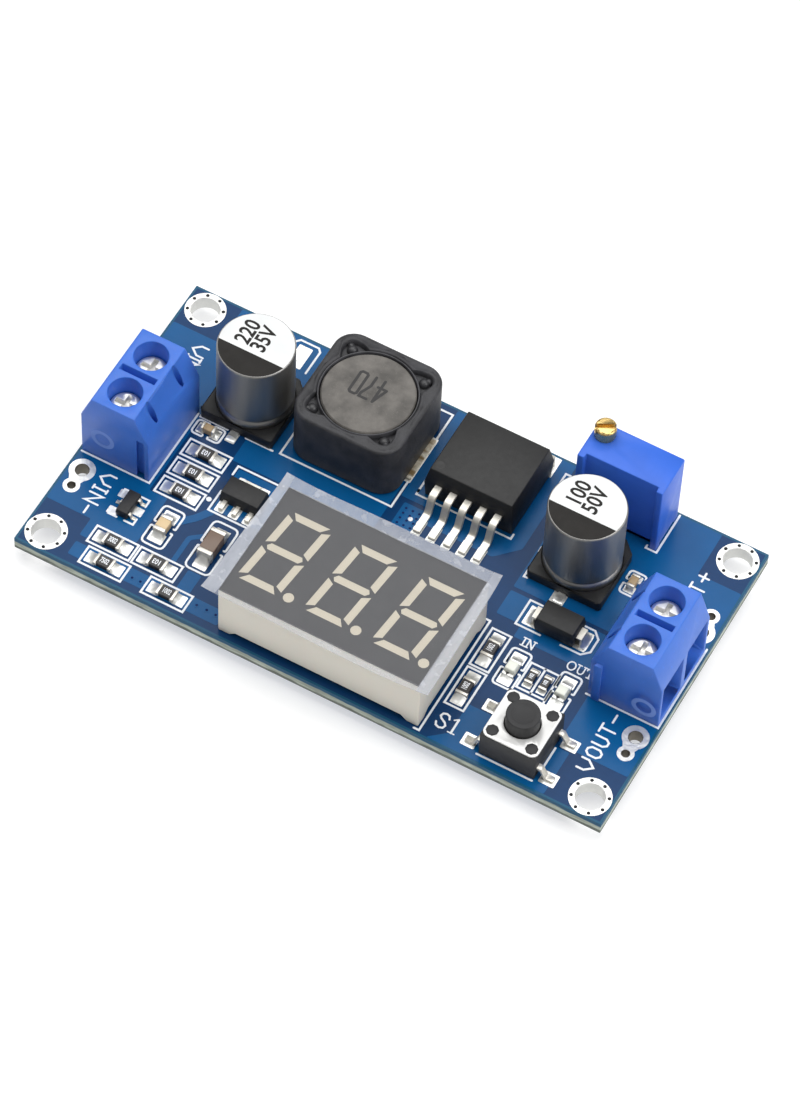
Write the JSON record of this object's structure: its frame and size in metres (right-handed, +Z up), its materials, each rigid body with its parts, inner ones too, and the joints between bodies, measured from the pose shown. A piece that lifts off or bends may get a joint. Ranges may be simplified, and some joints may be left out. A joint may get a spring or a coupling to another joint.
{
  "type": "boost converter module",
  "caption": "Step-up voltage converter board with screw terminals, LED voltmeter display, adjusting trimmer and push switch.",
  "frame": {"origin": "middle of the four mounting holes at the board's underside", "axes": "+X along the board from the input terminal to the output terminal, +Z up out of the component side"},
  "size_m": [0.066, 0.036, 0.0146],
  "materials": {
    "board_laminate": "satin solder mask",
    "terminal_plastic": "moulded, satin",
    "contact_metal": "tinned",
    "screw_metal": "nickel plated",
    "clamp_metal": "nickel plated",
    "can_metal": "drawn, satin",
    "black_plastic": "moulded, matte",
    "ferrite": "sintered, matte",
    "copper_wire": "enamelled",
    "trimmer_plastic": "moulded, satin",
    "screw_brass": "turned",
    "display_shell": "moulded",
    "display_mask": "printed, matte",
    "display_bars": "milky resin",
    "film_plastic": "clear film",
    "cover_steel": "bright plated",
    "resistor_ceramic": "glazed",
    "capacitor_ceramic": "fired ceramic",
    "lamp_plastic": "milky resin"
  },
  "bodies": {
    "board": {"circuit_board": "board_laminate", "input_terminal_housing": "terminal_plastic", "output_terminal_housing": "terminal_plastic", "input_terminal_contacts": "contact_metal", "output_terminal_contacts": "contact_metal", "inductor_plates": "contact_metal", "input_capacitor_leads": "contact_metal", "output_capacitor_leads": "contact_metal", "converter_tab": "contact_metal", "converter_leads": "contact_metal", "rectifier_leads": "contact_metal", "regulator_leads": "contact_metal", "transistor_leads": "contact_metal", "switch_leads": "contact_metal", "trimmer_pins": "contact_metal", "display_pins": "contact_metal", "resistor_ends": "contact_metal", "small_resistor_ends": "contact_metal", "large_ceramic_ends": "contact_metal", "medium_ceramic_ends": "contact_metal", "small_ceramic_ends": "contact_metal", "lamp_ends": "contact_metal", "meter_chip_leads": "contact_metal", "input_capacitor_can": "can_metal", "output_capacitor_can": "can_metal", "input_capacitor_base": "black_plastic", "output_capacitor_base": "black_plastic", "converter_body": "black_plastic", "rectifier_body": "black_plastic", "regulator_body": "black_plastic", "transistor_body": "black_plastic", "meter_chip_body": "black_plastic", "switch_base": "black_plastic", "inductor_shield": "ferrite", "inductor_drum": "ferrite", "inductor_winding": "copper_wire", "trimmer_housing": "trimmer_plastic", "display_housing": "display_shell", "display_face": "display_mask", "display_segments": "display_bars", "display_film": "film_plastic", "switch_cover": "cover_steel", "resistor_bodies": "resistor_ceramic", "small_resistor_bodies": "resistor_ceramic", "large_ceramic_bodies": "capacitor_ceramic", "medium_ceramic_bodies": "capacitor_ceramic", "small_ceramic_bodies": "capacitor_ceramic", "lamp_carriers": "lamp_plastic", "lamp_lenses": "lamp_plastic"},
    "input_back_screw_body": {"input_back_screw": "screw_metal"},
    "input_back_clamp_body": {"input_back_clamp": "clamp_metal"},
    "input_front_screw_body": {"input_front_screw": "screw_metal"},
    "input_front_clamp_body": {"input_front_clamp": "clamp_metal"},
    "output_back_screw_body": {"output_back_screw": "screw_metal"},
    "output_back_clamp_body": {"output_back_clamp": "clamp_metal"},
    "output_front_screw_body": {"output_front_screw": "screw_metal"},
    "output_front_clamp_body": {"output_front_clamp": "clamp_metal"},
    "trimmer_screw_body": {"trimmer_screw": "screw_brass"},
    "plunger_body": {"switch_plunger": "black_plastic"}
  },
  "joints": [
    {"name": "input_back_screw_turn", "type": "hinge", "parent": "board", "child": "input_back_screw_body", "pos_m": [-0.02897, 0.00216, 0.0076], "axis": [0, 0, 1], "range_deg": [-1081, 0]},
    {"name": "input_back_clamp_rise", "type": "slide", "parent": "board", "child": "input_back_clamp_body", "axis": [0, 0, 1], "range_m": [0, 0.00135]},
    {"name": "input_front_screw_turn", "type": "hinge", "parent": "board", "child": "input_front_screw_body", "pos_m": [-0.02897, -0.00292, 0.0076], "axis": [0, 0, 1], "range_deg": [-1081, 0]},
    {"name": "input_front_clamp_rise", "type": "slide", "parent": "board", "child": "input_front_clamp_body", "axis": [0, 0, 1], "range_m": [0, 0.00135]},
    {"name": "output_back_screw_turn", "type": "hinge", "parent": "board", "child": "output_back_screw_body", "pos_m": [0.02897, 0.00216, 0.0076], "axis": [0, 0, 1], "range_deg": [-1081, 0]},
    {"name": "output_back_clamp_rise", "type": "slide", "parent": "board", "child": "output_back_clamp_body", "axis": [0, 0, 1], "range_m": [0, 0.00135]},
    {"name": "output_front_screw_turn", "type": "hinge", "parent": "board", "child": "output_front_screw_body", "pos_m": [0.02897, -0.00292, 0.0076], "axis": [0, 0, 1], "range_deg": [-1081, 0]},
    {"name": "output_front_clamp_rise", "type": "slide", "parent": "board", "child": "output_front_clamp_body", "axis": [0, 0, 1], "range_m": [0, 0.00135]},
    {"name": "trimmer_screw_turn", "type": "hinge", "parent": "board", "child": "trimmer_screw_body", "pos_m": [0.01473, 0.01624, 0.01163], "axis": [0, 0, 1], "continuous": true},
    {"name": "switch_press", "type": "slide", "parent": "board", "child": "plunger_body", "axis": [0, 0, 1], "range_m": [-0.00025, 0], "stiffness_N_per_m": 800}
  ],
  "couplings": [
    {"joint": "input_back_screw_turn", "follows": "input_back_clamp_rise", "rad_per_m": -13963},
    {"joint": "input_front_screw_turn", "follows": "input_front_clamp_rise", "rad_per_m": -13963},
    {"joint": "output_back_screw_turn", "follows": "output_back_clamp_rise", "rad_per_m": -13963},
    {"joint": "output_front_screw_turn", "follows": "output_front_clamp_rise", "rad_per_m": -13963}
  ]
}
